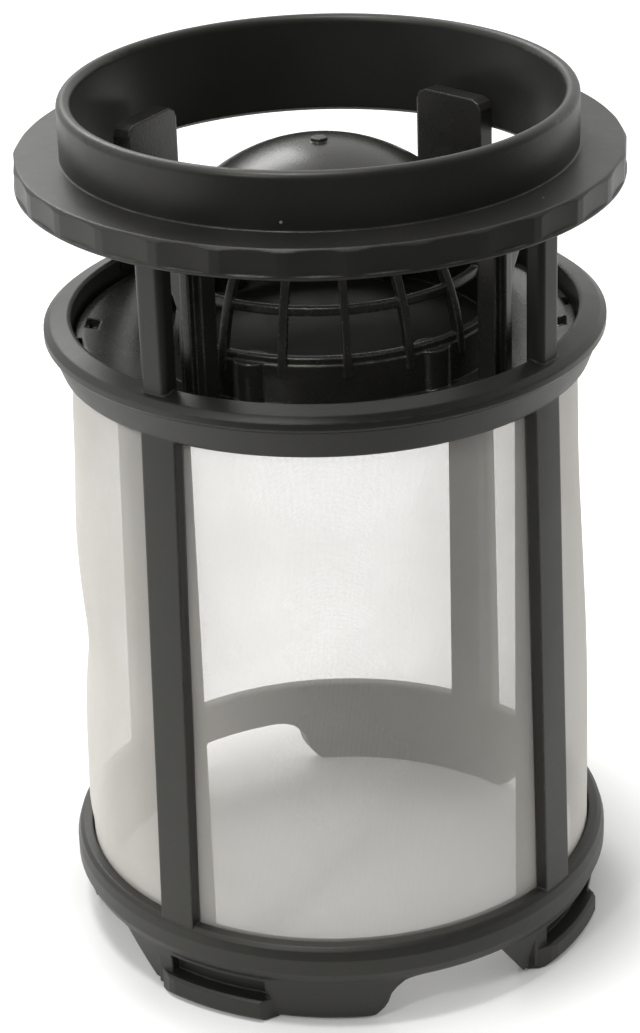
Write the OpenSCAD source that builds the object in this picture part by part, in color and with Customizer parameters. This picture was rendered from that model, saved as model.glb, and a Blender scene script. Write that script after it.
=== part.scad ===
// Dishwasher filter: a cylindrical fine filter with a mesh sleeve and a domed coarse strainer.
// Millimetres. Origin at the centre of the base, where the feet stand. +Z up, and -Y is the front.

/* [Heights, from the feet up] */
// bottom ring with its feet
ring_h = 13; // [11.5:0.1:18]
// open height of the mesh windows
mesh_h = 74; // [50:0.1:100]
// band above the mesh windows
band_h = 4.3; // [3.6:0.1:7]
// lip of the head, standing on the band
lip_h = 2.1; // [1.8:0.1:3]
// open height between the lip and the flange
gap_h = 19.7; // [17:0.1:24]
// flange
flange_h = 4.2; // [3.6:0.1:6]
// collar above the flange
collar_h = 7.7; // [5:0.1:14]

/* [Head] */
// outside diameter of the collar
collar_d = 70.4; // [69.6:0.1:74]
// wall of the collar
collar_wall = 2; // [1.6:0.1:2.2]
// how far the collar's skirt hangs below the flange
skirt_h = 2.4; // [1:0.1:4]
// diameter of the flange at its lower edge
flange_d = 83; // [80:0.1:92]
// number of scallops round the flange
scallops = 30; // [24:1:36]
// radius of one scallop's hollow
scallop_r = 80; // [40:1:150]
// height of the ledge under the scallops
ledge_h = 0.6; // [0.4:0.1:1.2]
// outside diameter of the lip
lip_d = 78; // [77.4:0.1:82]
// width of the lip's top face
lip_w = 3.8; // [3.4:0.1:4.1]
// width of an upper post
post_w = 4.3; // [3:0.1:7]
// depth of an upper post from inside to outside
post_depth = 2.4; // [1.8:0.1:3]

/* [Cage] */
// outside diameter of the band at its upper edge
band_d = 76.8; // [76:0.1:77.2]
// outside diameter at the lower edge of the band
cage_top_d = 73.8; // [73:0.1:75]
// outside diameter of the bottom ring at its top edge
ring_d = 78.2; // [77.4:0.1:82]
// outside diameter of the feet at the floor
foot_d = 74.8; // [73.8:0.1:76]
// inside diameter of the bottom ring at the floor
ring_bore_d = 70.4; // [68:0.1:71]
// width of a mesh post outside the mesh
rib_w = 5.6; // [4.4:0.1:8]
// width of a mesh post inside the mesh
rib_inner_w = 5.2; // [3:0.1:6]
// height of the arches between the feet
arch_h = 7.2; // [5:0.1:8]
// angle of an arch at the floor, in degrees
arch_deg = 35; // [28:1:40]
// how far a bayonet lug stands out from its foot
lug_out = 1.9; // [1.2:0.1:3]
// height of a bayonet lug
lug_h = 3.3; // [2.6:0.1:3.8]
// length of a bayonet lug at its root, in degrees
lug_deg = 30; // [22:1:33]

/* [Mesh] */
// thickness of the mesh sleeve
mesh_t = 0.5; // [0.3:0.1:0.8]
// how deep the sleeve is moulded into each ring
mesh_grip = 2.6; // [1.5:0.1:3]

/* [Strainer] */
// radius of the dome
dome_r = 25; // [24:0.1:25.4]
// height of the dome's top above the deck
dome_rise = 26.4; // [25.6:0.1:28]
// wall of the dome and its band
dome_wall = 1.5; // [1.2:0.1:2]
// thickness of the tray round the dome
tray_t = 1.2; // [1:0.1:1.5]
// how far the tray falls towards the dome
tray_fall = 1.8; // [0.8:0.1:2.4]
// number of upright bars in the grid
grid_bars = 18; // [12:1:24]
// thickness of a bar or a hoop
grid_t = 1.1; // [0.8:0.1:1.6]
// step from one hoop to the next
hoop_step = 6.45; // [6:0.05:7]
// width of a tab inside the collar
tab_w = 11.6; // [9:0.1:13]
// width of the stem below a tab
stem_w = 4.4; // [3.6:0.1:6]
// thickness of stems and tabs
tab_t = 2.6; // [2:0.1:3]
// how far the tabs end below the collar's rim
tab_drop = 8.4; // [6:0.1:10]

/* [Hidden] */
$fn = 96;
// Levels
z_mesh = ring_h;
z_band = z_mesh + mesh_h;
z_lip = z_band + band_h;
z_lip_top = z_lip + lip_h;
z_flange = z_lip_top + gap_h;
z_flange_top = z_flange + flange_h;
z_rim = z_flange_top + collar_h;
// The tray's top face at its rim, and the ledge of the head that it rests on
z_deck = z_lip - 0.3;
z_ledge = z_deck - tray_t;
z_ledge_low = z_ledge - 0.8;
// The sleeve ends below the ledge
top_grip = min(mesh_grip, z_ledge_low - 0.9 - z_band);
// Radii
collar_r = collar_d / 2;
collar_in = collar_r - collar_wall;
flange_r = flange_d / 2;
lip_r = lip_d / 2;
lip_in = lip_r - lip_w;
band_r = band_d / 2;
spigot_r = lip_in + 1.1;
ledge_in = lip_in - 1.5;
tray_r = lip_in - 0.2;
post_r = collar_r + 2.1;
ring_r = ring_d / 2;
foot_r = foot_d / 2;
ring_in = ring_bore_d / 2;
cage_top_r = cage_top_d / 2;
cage_bot_r = ring_r - 0.2;
// The sleeve leans with the cage, 1.7 inside the outer face of the posts
sleeve_top_r = cage_top_r - 1.7;
sleeve_bot_r = cage_bot_r - 1.7;
sleeve_lean = (sleeve_bot_r - sleeve_top_r) / mesh_h;
// The posts' inner faces stand upright, clear of the mesh
rib_in = cage_top_r - 3.5;
// Angles, counted from +X
post_a = 52.5;
arch_a = 25.5;
scallop_step = 360 / scallops;
// Strainer levels and radii
dome_c = z_deck + dome_rise - dome_r;
z_foot = z_deck - tray_fall;
hoop_z1 = dome_c + 2.75;
hoop_z2 = hoop_z1 + hoop_step;
cap_z = hoop_z2 + hoop_step - 1.6;
tab_r = 29;
tab_top = z_rim - tab_drop;
tab_z = z_flange - 7.5;
// Mirror angle of the four tabs
tab_mid_a = -82.25;

function r_on_dome(z) = sqrt(dome_r * dome_r - (z - dome_c) * (z - dome_c));

// Copies at four quarter turns
module quarters(a) {
    for (i = [0 : 3])
        rotate([0, 0, a + 90 * i])
            children();
}

// A block that reaches outwards along +X, centred across Y
module block(r0, r1, w, z0, z1) {
    translate([r0, -w / 2, z0])
        cube([r1 - r0, w, z1 - z0]);
}

// Slice of a full turn, from -deg / 2 to deg / 2 about +X
module wedge(deg, r, z0, z1) {
    translate([0, 0, z0])
        linear_extrude(height = z1 - z0)
            polygon([[0, 0],
                     [r * cos(deg / 2), -r * sin(deg / 2)],
                     [r / cos(deg / 4), 0],
                     [r * cos(deg / 2), r * sin(deg / 2)]]);
}

// Head

module collar_and_flange() {
    rotate_extrude()
        difference() {
            union() {
                // collar wall with its rounded rim
                translate([collar_in, z_flange - skirt_h])
                    square([collar_wall, z_rim - collar_wall / 2 - z_flange + skirt_h]);
                translate([collar_r - collar_wall / 2, z_rim - collar_wall / 2])
                    circle(d = collar_wall);
                // flange with a bevelled upper edge
                polygon([[collar_in + 0.5, z_flange],
                         [flange_r - 0.3, z_flange],
                         [flange_r, z_flange + 0.25],
                         [flange_r, z_flange_top - 0.4],
                         [flange_r - 0.4, z_flange_top],
                         [collar_in + 0.5, z_flange_top]]);
            }
            // lead-in at the skirt's lower edge
            translate([collar_in - 0.01, z_flange - skirt_h - 0.01])
                polygon([[0, 0], [0.6, 0], [0, 0.6]]);
        }
}

// Shallow hollows round the flange, with a narrow ridge between each two and a ledge below
module flange_scallops() {
    ridge_r = flange_r + 0.1;
    half = scallop_step / 2;
    centre = ridge_r * cos(half) + sqrt(scallop_r * scallop_r - pow(ridge_r * sin(half), 2));
    for (i = [0 : scallops - 1])
        rotate([0, 0, 5 + scallop_step * i])
            translate([centre, 0, z_flange + ledge_h])
                cylinder(r = scallop_r, h = flange_h + 1);
}

// An upper post stands on the lip, with rounded corners outside
module upper_post() {
    corner = 0.9;
    r0 = post_r - post_depth;
    translate([0, 0, z_lip + 0.6])
        linear_extrude(height = z_flange + 0.5 - z_lip - 0.6) {
            translate([r0, -post_w / 2])
                square([post_depth - corner, post_w]);
            translate([r0, corner - post_w / 2])
                square([post_depth, post_w - 2 * corner]);
            for (s = [-1, 1])
                translate([post_r - corner, s * (post_w / 2 - corner)])
                    circle(r = corner, $fn = 48);
        }
}

// Lip that the posts stand on, with a spigot into the cage and a ledge for the strainer
module lip() {
    rotate_extrude()
        polygon([[ledge_in, z_ledge_low],
                 [spigot_r, z_ledge_low],
                 [spigot_r, z_lip],
                 [lip_r - 0.4, z_lip],
                 [lip_r, z_lip + 0.4],
                 [lip_r, z_lip_top - 0.7],
                 [lip_r - 0.9, z_lip_top],
                 [lip_in + 0.5, z_lip_top + 0.7],
                 [lip_in, z_lip_top + 0.4],
                 [lip_in, z_ledge],
                 [ledge_in, z_ledge]]);
}

module head() {
    color([0.25, 0.245, 0.23])
        union() {
            difference() {
                collar_and_flange();
                flange_scallops();
            }
            lip();
            quarters(post_a)
                upper_post();
        }
}

// Cage

// Outer and inner skins of the mesh posts, leaning outwards towards the base
module rib_outer() {
    rotate_extrude()
        polygon([[sleeve_top_r - mesh_t / 2, z_band + 1],
                 [cage_top_r, z_band + 1],
                 [cage_bot_r, z_mesh - 1],
                 [sleeve_bot_r - mesh_t / 2, z_mesh - 1]]);
}

module rib_inner() {
    rotate_extrude()
        polygon([[rib_in, z_band + 1],
                 [sleeve_top_r - mesh_t / 2, z_band + 1],
                 [sleeve_bot_r - mesh_t / 2, z_mesh - 1],
                 [ring_in + 0.7, ring_h * 0.3],
                 [rib_in, ring_h * 0.3 + 1.6]]);
}

module mesh_posts() {
    intersection() {
        rib_outer();
        quarters(post_a)
            block(20, 50, rib_w, z_mesh - 2, z_band + 2);
    }
    intersection() {
        rib_inner();
        quarters(post_a)
            block(20, 50, rib_inner_w, 1, z_band + 2);
    }
}

module band() {
    rotate_extrude()
        polygon([[rib_in, z_band],
                 [cage_top_r - 0.3, z_band],
                 [cage_top_r, z_band + 0.3],
                 [band_r, z_lip],
                 [spigot_r + 0.2, z_lip],
                 [spigot_r + 0.2, z_ledge_low - 0.2],
                 [rib_in, z_ledge_low - 0.2]]);
}

module bottom_ring() {
    rotate_extrude()
        polygon([[ring_in, 0.5],
                 [ring_in + 0.4, 0],
                 [foot_r - 0.5, 0],
                 [foot_r, 0.5],
                 [foot_r + (ring_r - foot_r) * 0.62, ring_h * 0.52],
                 [ring_r - 0.1, ring_h * 0.59],
                 [ring_r + 0.4, ring_h * 0.68],
                 [ring_r + 0.4, ring_h * 0.86],
                 [ring_r, ring_h - 0.5],
                 [ring_r - 0.6, ring_h],
                 [ring_in + 1.2, ring_h],
                 [ring_in + 1, ring_h - 0.6]]);
}

// An arch is cut square through the ring's wall. One end curves up, and the other slopes
module arch() {
    h = foot_r * sin(arch_deg / 2);
    translate([25, 0, 0])
        rotate([90, 0, 90])
            linear_extrude(height = 25)
                polygon([[-h - 1.7, -1],
                         [-h - 1.7, 0],
                         [-h - 0.8, 0.8],
                         [-h, 1.8],
                         [-h + 0.5, 2.9],
                         [-h + 0.8, arch_h - 2.9],
                         [-h + 1.5, arch_h - 1.8],
                         [-h + 2.6, arch_h - 0.7],
                         [-h + 4, arch_h - 0.2],
                         [-h + 5.4, arch_h],
                         [h - 4.9, arch_h],
                         [h + 0.1, 0.4],
                         [h + 0.6, 0],
                         [h + 0.6, -1]]);
}

function polar(r, a) = [r * cos(a), r * sin(a)];

// Undercut above a lug
module lug_pocket() {
    intersection() {
        rotate_extrude()
            translate([foot_r - 0.7, lug_h])
                square([8, ring_h * 0.48 - lug_h]);
        rotate([0, 0, 1])
            wedge(lug_deg - 7, 60, 0, ring_h);
    }
}

// Bayonet lug, rounded off at one end and chamfered at the other
module lug() {
    half = lug_deg / 2;
    lug_r = foot_r + lug_out;
    intersection() {
        rotate_extrude()
            polygon([[foot_r - 1.4, 0],
                     [lug_r - 0.6, 0],
                     [lug_r, 0.6],
                     [lug_r, lug_h - 0.4],
                     [lug_r - 0.4, lug_h],
                     [foot_r - 1.4, lug_h]]);
        linear_extrude(height = lug_h + 1)
            polygon([polar(33, -half),
                     polar(foot_r - 0.2, -half),
                     polar(foot_r + lug_out * 0.5, 1.8 - half),
                     polar(foot_r + lug_out * 0.9, 4.6 - half),
                     polar(lug_r + 0.7, 11 - half),
                     polar(lug_r + 1.2, half - 12),
                     polar(lug_r + 0.05, half - 3.4),
                     polar(foot_r - 0.2, half),
                     polar(33, half)]);
    }
}

// Stop that closes the undercut at the lug's rounded end
module lug_stop() {
    intersection() {
        rotate_extrude()
            polygon([[foot_r - 1.2, 0.2],
                     [foot_r + 0.3, 0.2],
                     [foot_r + 0.8, 0.7],
                     [foot_r + 0.8, ring_h * 0.5],
                     [foot_r - 1.2, ring_h * 0.5]]);
        rotate([0, 0, 2.6 - lug_deg / 2])
            wedge(4, 60, 0, ring_h);
    }
}

// Room that the sleeve fills
module sleeve_shape() {
    z0 = z_mesh - mesh_grip;
    z1 = z_band + top_grip;
    r0 = sleeve_bot_r + sleeve_lean * mesh_grip;
    r1 = sleeve_top_r - sleeve_lean * top_grip;
    rotate_extrude()
        polygon([[r0 - mesh_t, z0], [r0, z0], [r1, z1], [r1 - mesh_t, z1]]);
}

module cage() {
    lug_a = arch_a + arch_deg / 2 + lug_deg / 2 + 2;
    color([0.25, 0.245, 0.23])
        difference() {
            union() {
                difference() {
                    bottom_ring();
                    quarters(arch_a)
                        arch();
                    quarters(lug_a)
                        lug_pocket();
                }
                quarters(lug_a)
                    lug();
                quarters(lug_a)
                    lug_stop();
                mesh_posts();
                band();
            }
            sleeve_shape();
        }
}

// Mesh

module mesh() {
    color([0.9, 0.89, 0.87, 0.6])
        sleeve_shape();
}

// Strainer

// Shell of a sphere about the dome's centre, between two levels
module dome_shell(r, t, z0, z1) {
    intersection() {
        difference() {
            translate([0, 0, dome_c])
                sphere(r = r);
            translate([0, 0, dome_c])
                sphere(r = r - t);
        }
        translate([0, 0, z0])
            cylinder(r = dome_r + 5, h = z1 - z0);
    }
}

module hoop(z) {
    r = r_on_dome(z) - 0.2;
    rotate_extrude()
        translate([r - grid_t, z - grid_t / 2])
            square([grid_t, grid_t]);
}

// The bars stand a little proud of the hoops and of the cap
module grid() {
    intersection() {
        dome_shell(dome_r + 0.15, grid_t, dome_c + 0.6, cap_z + 0.5);
        for (i = [0 : grid_bars - 1])
            rotate([0, 0, -3.5 + 360 / grid_bars * i])
                block(5, 40, grid_t, dome_c - 1, cap_z + 1);
    }
    hoop(hoop_z1);
    hoop(hoop_z2);
}

// Floor, band and the tray that falls towards them
module strainer_base() {
    rotate_extrude()
        polygon([[0, z_foot - tray_t],
                 [dome_r, z_foot - tray_t],
                 [ledge_in - 0.3, z_ledge],
                 [tray_r, z_ledge],
                 [tray_r, z_deck - 0.4],
                 [tray_r - 0.4, z_deck],
                 [ledge_in - 0.3, z_deck],
                 [dome_r, z_foot],
                 [dome_r, dome_c],
                 [r_on_dome(hoop_z1 - 0.4), hoop_z1 - 0.4],
                 [dome_r - dome_wall, hoop_z1 - 0.4],
                 [dome_r - dome_wall, z_foot],
                 [0, z_foot]]);
}

// Two latch windows through the tray, and a notch in its rim beside each
module latches() {
    for (half = [0, 180]) {
        rotate([0, 0, half - 4])
            block(lip_in - 3.5, ledge_in - 0.2, 3.4, z_deck - 4, z_deck + 1);
        rotate([0, 0, half + 8])
            block(ledge_in + 0.1, lip_in + 1, 3, z_deck - 4, z_deck + 1);
    }
}

// Rounded bosses on the band, where the basket meets the tray
module bosses() {
    for (a = [53.5, 114.5, 233.5, 294.5])
        rotate([0, 0, -a])
            translate([dome_r - 1.4, 0, z_foot - 0.5])
                cylinder(r = 2.5, h = hoop_z1 - 0.3 - z_foot + 0.5);
}

// One stem with its tab. side tells towards which hand the tab is wider
module stem_and_tab(side) {
    z0 = z_deck - 1.6;
    s0 = -side * tab_w / 2;
    s1 = s0 + side * stem_w;
    s2 = side * tab_w / 2;
    translate([tab_r - tab_t / 2, 0, 0])
        rotate([90, 0, 90])
            linear_extrude(height = tab_t)
                polygon([[s0, z0],
                         [s1, z0],
                         [s1, tab_z - 3],
                         [s1 + side * 0.8, tab_z - 1],
                         [s1 + side * 2.2, tab_z + 0.8],
                         [s2, tab_z + 3.6],
                         [s2, tab_top - 1.5],
                         [s2 - side * 0.5, tab_top - 0.5],
                         [s2 - side * 1.5, tab_top],
                         [s0 + side * 1.5, tab_top],
                         [s0 + side * 0.5, tab_top - 0.5],
                         [s0, tab_top - 1.5]]);
    // rib down the tab's outer face
    translate([tab_r + tab_t / 2 - 0.2, s0 + side * stem_w / 2 - 0.8, z0])
        cube([1.1, 1.6, tab_top - 3 - z0]);
}

module stems() {
    for (half = [0, 180])
        for (s = [-1, 1])
            rotate([0, 0, tab_mid_a + half + s * 49.5])
                stem_and_tab(s);
}

module strainer() {
    color([0.27, 0.265, 0.25])
        union() {
            difference() {
                union() {
                    strainer_base();
                    bosses();
                }
                latches();
            }
            dome_shell(dome_r, dome_wall, cap_z, dome_c + dome_r + 1);
            grid();
            stems();
            // gate mark on the dome's top
            translate([0, 0, dome_c + dome_r - 0.4])
                cylinder(r = 1.1, h = 0.9);
        }
}

head();
cage();
mesh();
strainer();
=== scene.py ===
"""Looks of the dishwasher filter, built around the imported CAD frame."""
import math

import bmesh
import bpy
from mathutils import Matrix, Vector, noise


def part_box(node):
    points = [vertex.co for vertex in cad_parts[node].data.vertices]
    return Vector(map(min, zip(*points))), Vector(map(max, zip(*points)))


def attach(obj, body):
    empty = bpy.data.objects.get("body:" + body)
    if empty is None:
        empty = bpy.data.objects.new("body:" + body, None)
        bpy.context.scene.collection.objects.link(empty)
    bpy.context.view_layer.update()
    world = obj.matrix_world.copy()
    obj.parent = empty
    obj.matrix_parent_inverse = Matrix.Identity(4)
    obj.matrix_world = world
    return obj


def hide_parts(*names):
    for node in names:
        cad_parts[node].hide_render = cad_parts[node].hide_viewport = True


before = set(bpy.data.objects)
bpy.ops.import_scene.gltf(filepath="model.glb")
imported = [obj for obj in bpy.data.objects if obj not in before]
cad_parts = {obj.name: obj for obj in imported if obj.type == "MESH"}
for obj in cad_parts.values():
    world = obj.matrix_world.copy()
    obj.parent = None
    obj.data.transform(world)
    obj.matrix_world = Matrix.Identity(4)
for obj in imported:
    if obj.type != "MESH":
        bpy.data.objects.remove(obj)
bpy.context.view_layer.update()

scene = bpy.context.scene
MM = 0.001

# Camera: 385 mm in front of the filter and 247 mm up, on a long lens
PITCH, YAW, ROLL = 0.4506, -0.0042, -0.0340
CAMERA_AT = (0.0, -0.38516, 0.24721)
FOCAL_PX, IMAGE_H_PX, SENSOR = 2981.47, 1033.0, 36.0
fwd = Vector((math.sin(YAW) * math.cos(PITCH), math.cos(YAW) * math.cos(PITCH), -math.sin(PITCH)))
flat = Vector((math.cos(YAW), -math.sin(YAW), 0.0))
up = flat.cross(fwd)
right = math.cos(ROLL) * flat + math.sin(ROLL) * up
top = -math.sin(ROLL) * flat + math.cos(ROLL) * up
cam = bpy.data.objects.new("camera", bpy.data.cameras.new("camera"))
scene.collection.objects.link(cam)
cam.matrix_world = Matrix((
    (right.x, top.x, -fwd.x, CAMERA_AT[0]),
    (right.y, top.y, -fwd.y, CAMERA_AT[1]),
    (right.z, top.z, -fwd.z, CAMERA_AT[2]),
    (0.0, 0.0, 0.0, 1.0)))
cam.data.sensor_width = SENSOR
cam.data.lens = FOCAL_PX * SENSOR / IMAGE_H_PX
cam.data.clip_start = 0.01
cam.data.clip_end = 20.0
scene.camera = cam
scene.view_settings.view_transform = "Standard"


class Nodes:
    """A node tree of a material or world, with short calls to add and join nodes."""

    def __init__(self, owner, output):
        self.owner = owner
        owner.use_nodes = True
        self.tree = owner.node_tree
        self.tree.nodes.clear()
        self.out = self.tree.nodes.new(output)

    def add(self, kind, **values):
        n = self.tree.nodes.new(kind)
        for key, value in values.items():
            key = key.replace("_", " ")
            if key in n.inputs:
                n.inputs[key].default_value = value
            else:
                setattr(n, key.replace(" ", "_"), value)
        return n

    def join(self, a, b):
        self.tree.links.new(a, b)

    def math(self, operation, *values):
        n = self.tree.nodes.new("ShaderNodeMath")
        n.operation = operation
        for i, v in enumerate(values):
            if isinstance(v, (int, float)):
                n.inputs[i].default_value = v
            else:
                self.join(v, n.inputs[i])
        return n.outputs[0]

    def ramp(self, value, low, high, a, b):
        """Smooth change from a to b while value goes from low to high."""
        n = self.add("ShaderNodeMapRange", interpolation_type="SMOOTHSTEP")
        for i, v in enumerate((low, high, a, b), 1):
            n.inputs[i].default_value = v
        self.join(value, n.inputs[0])
        return n.outputs[0]

    def split(self, value):
        """X, Y and Z of a vector."""
        n = self.add("ShaderNodeSeparateXYZ")
        self.join(value, n.inputs[0])
        return n.outputs["X"], n.outputs["Y"], n.outputs["Z"]

    def off_axis(self, x, y):
        """Distance from the filter's axis."""
        return self.math("SQRT", self.math("ADD", self.math("POWER", x, 2.0), self.math("POWER", y, 2.0)))

    def mix(self, factor, a, b):
        """Colour from a to b."""
        n = self.add("ShaderNodeMix", data_type="RGBA")
        for i, v in ((0, factor), (6, a), (7, b)):
            if isinstance(v, tuple):
                n.inputs[i].default_value = (*v, 1)
            else:
                self.join(v, n.inputs[i])
        return n.outputs[2]

    def seen(self):
        """1 for what the camera sees directly, mirrored or through something."""
        path = self.add("ShaderNodeLightPath")
        rays = self.math("MAXIMUM", path.outputs["Is Camera Ray"], path.outputs["Is Glossy Ray"])
        return self.math("MAXIMUM", rays, path.outputs["Is Transmission Ray"])


def material(name):
    return Nodes(bpy.data.materials.new(name), "ShaderNodeOutputMaterial")


EDGE_R = 0.45 * MM
GRAIN_DEEP = 0.06 * MM
DUST = (0.42, 0.41, 0.39)
# The level floor inside the dome: within this radius and below this height
SCOURED_R = (23.0 * MM, 24.5 * MM)
SCOURED_Z = (93.0 * MM, 96.0 * MM)


def plastic(name, dark, light, worn_and_highlight, rough, scoured):
    """Moulded plastic: spark-eroded grain, faint colour drift, rounded edges painted paler for rubbed wear
    and as a painted highlight, a little dust.
    scoured is the roughness added on the floor inside the dome, where scraps lie."""
    m = material(name)
    where = m.add("ShaderNodeTexCoord").outputs["Object"]
    drift = m.add("ShaderNodeTexNoise", Scale=42.0, Detail=5.0, Roughness=0.6)
    grain = m.add("ShaderNodeTexNoise", Scale=2400.0, Detail=2.0, Roughness=0.5)
    scuff = m.add("ShaderNodeTexNoise", Scale=420.0, Detail=4.0, Roughness=0.7)
    dust = m.add("ShaderNodeTexVoronoi", Scale=210.0)
    for n in (drift, grain, scuff, dust):
        m.join(where, n.inputs["Vector"])
    plain = m.add("ShaderNodeNewGeometry").outputs["Normal"]
    body = m.mix(m.ramp(drift.outputs["Fac"], 0.35, 0.66, 0.0, 1.0), dark, light)
    # Where the rounded normal leaves the flat one there is an edge, and the edge is painted paler: partly
    # rubbed wear, partly a painted highlight
    rounded = m.add("ShaderNodeBevel", Radius=EDGE_R, samples=6).outputs["Normal"]
    dot = m.add("ShaderNodeVectorMath", operation="DOT_PRODUCT")
    m.join(rounded, dot.inputs[0])
    m.join(plain, dot.inputs[1])
    edge = m.ramp(dot.outputs["Value"], 0.80, 0.995, 1.0, 0.0)
    rub_and_highlight = m.math("MULTIPLY", edge, m.ramp(scuff.outputs["Fac"], 0.38, 0.66, 0.15, 1.0))
    # Paler edges: rubbed wear and painted highlight together
    body = m.mix(rub_and_highlight, body, worn_and_highlight)
    # One cell in ten holds a speck
    cell = m.add("ShaderNodeSeparateColor")
    m.join(dust.outputs["Color"], cell.inputs[0])
    chosen = m.ramp(cell.outputs[0], 0.90, 0.91, 0.0, 1.0)
    speck = m.math("MULTIPLY", chosen, m.ramp(dust.outputs["Distance"], 0.035, 0.055, 0.55, 0.0))
    body = m.mix(speck, body, DUST)
    shader = m.add("ShaderNodeBsdfPrincipled", Specular_Tint=(1.0, 0.99, 0.92, 1.0))
    m.join(body, shader.inputs["Base Color"])
    # Roughness varies about rough with the drift and the scuffs
    r = m.math("MULTIPLY_ADD", drift.outputs["Fac"], 0.20, rough - 0.10)
    r = m.math("MULTIPLY_ADD", scuff.outputs["Fac"], 0.10, r)
    x, y, z = m.split(where)
    inside = m.ramp(m.off_axis(x, y), *SCOURED_R, 1.0, 0.0)
    inside = m.math("MULTIPLY", inside, m.ramp(z, *SCOURED_Z, 1.0, 0.0))
    r = m.math("MULTIPLY_ADD", m.ramp(m.split(plain)[2], 0.90, 0.99, 0.0, scoured), inside, r)
    m.join(m.math("SUBTRACT", r, 0.05), shader.inputs["Roughness"])
    bump = m.add("ShaderNodeBump", Strength=0.22, Distance=GRAIN_DEEP)
    m.join(grain.outputs["Fac"], bump.inputs["Height"])
    m.join(rounded, bump.inputs["Normal"])
    m.join(bump.outputs["Normal"], shader.inputs["Normal"])
    m.join(shader.outputs["BSDF"], m.out.inputs["Surface"])
    return m.owner


THREADS_PER_M = 6000.0
CLOTH_R = 36.0 * MM
THREAD_DEEP = 0.08 * MM
CLEAN, SOILED = (0.81, 0.785, 0.74), (0.765, 0.735, 0.68)
# Share covered by the cloth: in a hole, at a thread, and at most, where it is seen edge on
HOLE, THREAD, EDGE_ON = 0.27, 0.35, 0.95


def woven(name):
    """Nylon cloth: round threads over and under each other, with open square holes."""
    m = material(name)
    where = m.add("ShaderNodeTexCoord").outputs["Object"]
    x, y, z = m.split(where)
    across = m.math("MULTIPLY", m.math("ARCTAN2", y, x), CLOTH_R * math.pi * THREADS_PER_M)
    along = m.math("MULTIPLY", z, math.pi * THREADS_PER_M)
    warp = m.math("ABSOLUTE", m.math("SINE", across))
    weft = m.math("ABSOLUTE", m.math("SINE", along))
    thread = m.math("MAXIMUM", warp, weft)
    over = m.math("MULTIPLY", m.math("COSINE", across), m.math("COSINE", along))
    haze = m.add("ShaderNodeTexNoise", Scale=60.0, Detail=4.0, Roughness=0.6)
    m.join(where, haze.inputs["Vector"])
    soil = m.ramp(haze.outputs["Fac"], 0.3, 0.7, 0.0, 1.0)
    shader = m.add("ShaderNodeBsdfPrincipled", Roughness=0.75, Specular_IOR_Level=0.15)
    m.join(m.mix(soil, CLEAN, SOILED), shader.inputs["Base Color"])
    cover = m.math("MULTIPLY_ADD", soil, 0.04, m.ramp(thread, 0.75, 0.98, HOLE, THREAD))
    # At a slant the round threads close the holes, as glass mirrors more
    slant = m.add("ShaderNodeLayerWeight", Blend=0.5).outputs["Facing"]
    slant = m.math("MAXIMUM", m.math("SUBTRACT", slant, 0.12), 0.0)
    veil = m.math("MULTIPLY_ADD", slant, 0.86, cover)
    m.join(m.math("MINIMUM", veil, EDGE_ON), shader.inputs["Alpha"])
    bump = m.add("ShaderNodeBump", Strength=0.35, Distance=THREAD_DEEP)
    m.join(m.math("MULTIPLY_ADD", over, 0.4, thread), bump.inputs["Height"])
    m.join(bump.outputs["Normal"], shader.inputs["Normal"])
    m.join(shader.outputs["BSDF"], m.out.inputs["Surface"])
    return m.owner


# Of each node: the body's two colours, the paler edge colour (rubbed wear and painted highlight),
# roughness, and more of it inside the dome
PLASTICS = {
    "cage": ((0.014, 0.0137, 0.0121), (0.020, 0.0194, 0.0170), (0.070, 0.069, 0.064), 0.44, 0.0),
    "head": ((0.012, 0.0118, 0.0102), (0.017, 0.0166, 0.0144), (0.085, 0.084, 0.078), 0.40, 0.0),
    "strainer": ((0.015, 0.0147, 0.0130), (0.022, 0.0214, 0.0190), (0.085, 0.084, 0.078), 0.27, 0.35),
}
skins = {node: plastic(node + "_plastic", *finish) for node, finish in PLASTICS.items()}
skins["mesh"] = nylon = woven("nylon_cloth")
for node, skin in skins.items():
    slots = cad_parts[node].data.materials
    slots.clear()
    slots.append(skin)

# Sleeve of woven cloth, in the place of the plain CAD sleeve
lo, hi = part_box("mesh")
Z0, Z1 = lo[2], hi[2]
HALF_T = 0.25 * MM
R0, R1 = 0.5 * (hi[0] - lo[0]) - HALF_T, 35.2 * MM - HALF_T
POST_AT = math.radians(52.5)
TURNS, ROWS = 288, 64
# Shares of the height at which the moulded-in ends stop, and the height in which the cloth comes free
HELD_LOW, HELD_HIGH, COMES_FREE = 0.034, 0.985, 0.08
RIPPLE = 0.12


def around(a, size, height):
    """A point for noise that closes on itself round the sleeve."""
    return Vector((size * math.cos(a), size * math.sin(a), height))


def smooth(t):
    """0 to 1 as t goes from 0 to 1, level at both ends."""
    t = min(max(t, 0.0), 1.0)
    return t * t * (3.0 - 2.0 * t)


def hump(v, middle, width):
    """A bell of height 1."""
    return math.exp(-((v - middle) / width) ** 2)


def slack(a, v):
    """How far the cloth stands off its cone, in mm: most at the left, where it is pinched halfway up."""
    left = 0.60 - 0.75 * hump(v, 0.43, 0.09) + 0.35 * hump(v, 0.66, 0.10)
    right = 0.50 * hump(v, 0.33, 0.25) - 0.12 * hump(v, 0.78, 0.10)
    side = 0.5 - 0.5 * math.cos(a)
    return side * left + (1.0 - side) * right


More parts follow.
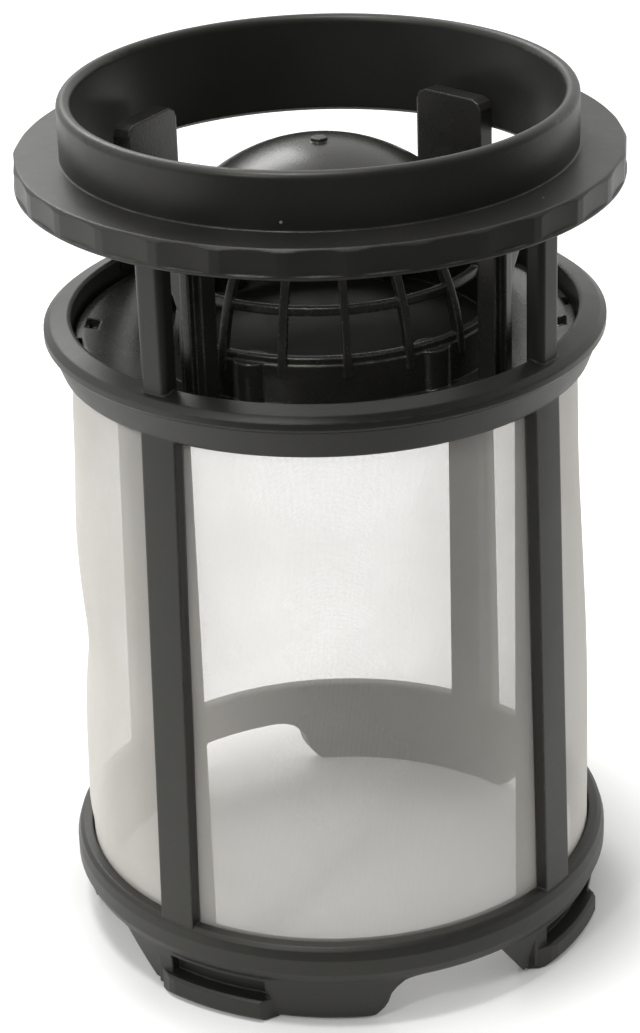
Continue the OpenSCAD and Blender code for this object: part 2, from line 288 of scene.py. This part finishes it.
def sleeve():
    """A cone of cloth, taut at the posts and rings, and a little slack in each window."""
    bm = bmesh.new()
    rings = []
    for j in range(ROWS + 1):
        v = j / ROWS
        z = Z0 + (Z1 - Z0) * v
        ring = []
        for i in range(TURNS):
            a = 2 * math.pi * i / TURNS
            window = abs(math.sin(2 * (a - POST_AT))) ** 0.7
            free = window * smooth((v - HELD_LOW) / COMES_FREE) * smooth((HELD_HIGH - v) / COMES_FREE)
            wave = noise.noise(around(a, 6.0, 1.6 * v))
            fold = noise.noise(around(a, 2.2, 3.0 * v + 7.0))
            r = R0 + (R1 - R0) * v + free * (slack(a, v) + RIPPLE * wave + RIPPLE * fold) * MM
            ring.append(bm.verts.new((r * math.cos(a), r * math.sin(a), z)))
        rings.append(ring)
    for below, above in zip(rings, rings[1:]):
        for i in range(TURNS):
            k = (i + 1) % TURNS
            face = bm.faces.new((below[i], below[k], above[k], above[i]))
            face.smooth = True
    data = bpy.data.meshes.new("mesh_sleeve")
    bm.to_mesh(data)
    bm.free()
    o = bpy.data.objects.new("mesh_sleeve", data)
    scene.collection.objects.link(o)
    data.materials.append(nylon)
    return o


cloth = sleeve()
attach(cloth, "root")
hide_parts("mesh")

# The room is darker in front of the filter, a little to the right: this is the direction of its light side
BACK = (-0.38, 0.92)
WHITE, DIM = (0.82, 0.82, 0.81), (0.08, 0.08, 0.08)
SIZE = 3.0
BELOW = 0.2 * MM


def toward_back(m, x, y):
    """How far a point or direction lies towards the light side of the room."""
    return m.math("MULTIPLY_ADD", x, BACK[0], m.math("MULTIPLY", y, BACK[1]))


# Floor: white where it is seen, and it keeps the shadow; for light bounced off it, it is painted dark in
# front of the filter as painted shade of the room
data = bpy.data.meshes.new("floor")
corners = [(-SIZE, -SIZE, 0), (SIZE, -SIZE, 0), (SIZE, SIZE, 0), (-SIZE, SIZE, 0)]
data.from_pydata(corners, [], [(0, 1, 2, 3)])
floor = bpy.data.objects.new("floor", data)
floor.location.z = -BELOW
scene.collection.objects.link(floor)
m = material("floor_white")
x, y, z = m.split(m.add("ShaderNodeTexCoord").outputs["Object"])
# Painted shade: for bounced light the floor is dark (DIM) in front of the filter and white towards the
# light side
room_light_side = m.ramp(toward_back(m, x, y), -0.15, -0.03, 0.08, 1.0)
direct = m.add("ShaderNodeLightPath").outputs["Is Camera Ray"]
shader = m.add("ShaderNodeBsdfDiffuse")
m.join(m.mix(direct, m.mix(room_light_side, DIM, WHITE), WHITE), shader.inputs["Color"])
# Outside the feet it glows a little where it is seen, up to white
glow = m.add("ShaderNodeEmission")
lift = m.math("MAXIMUM", m.math("MULTIPLY", room_light_side, 0.5), direct)
lift = m.math("MULTIPLY", m.ramp(m.off_axis(x, y), 0.036, 0.060, 0.06, 0.44), lift)
m.join(m.math("MULTIPLY", m.seen(), lift), glow.inputs["Strength"])
both = m.add("ShaderNodeAddShader")
m.join(shader.outputs["BSDF"], both.inputs[0])
m.join(glow.outputs["Emission"], both.inputs[1])
m.join(both.outputs["Shader"], m.out.inputs["Surface"])
data.materials.append(m.owner)

# World: white where the camera sees it, and mirrored white at the light side
scene.world = bpy.data.worlds.new("studio")
w = Nodes(scene.world, "ShaderNodeOutputWorld")
x, y, z = w.split(w.add("ShaderNodeTexCoord").outputs["Generated"])
back = toward_back(w, x, y)
lit = w.add("ShaderNodeBackground", Color=(1, 1, 1, 1))
w.join(w.ramp(back, -0.7, 0.4, 0.56, 0.85), lit.inputs["Strength"])
seen = w.add("ShaderNodeBackground", Color=(1, 1, 1, 1))
direct = w.add("ShaderNodeLightPath").outputs["Is Camera Ray"]
w.join(w.math("MAXIMUM", direct, w.ramp(back, -0.5, 0.4, 0.10, 1.0)), seen.inputs["Strength"])
mix = w.add("ShaderNodeMixShader")
w.join(w.seen(), mix.inputs[0])
w.join(lit.outputs[0], mix.inputs[1])
w.join(seen.outputs[0], mix.inputs[2])
w.join(mix.outputs[0], w.out.inputs["Surface"])


def lamp(name, where, aim, size, watts):
    """A rectangular softbox that looks at a point of the filter."""
    data = bpy.data.lights.new(name, "AREA")
    data.shape = "RECTANGLE"
    data.size, data.size_y = size
    data.energy = watts
    o = bpy.data.objects.new(name, data)
    scene.collection.objects.link(o)
    o.location = where
    o.rotation_mode = "QUATERNION"
    o.rotation_quaternion = (Vector(aim) - Vector(where)).to_track_quat("-Z", "Y")


lamp("back", (-0.30, 0.78, 0.72), (0, 0, 0.08), (0.40, 0.35), 2.8)
lamp("front", (-0.42, -0.62, 0.72), (0, 0, 0.10), (0.12, 0.12), 1.6)
lamp("top", (-0.14, -0.12, 1.00), (0, 0, 0.06), (0.14, 0.14), 3.4)
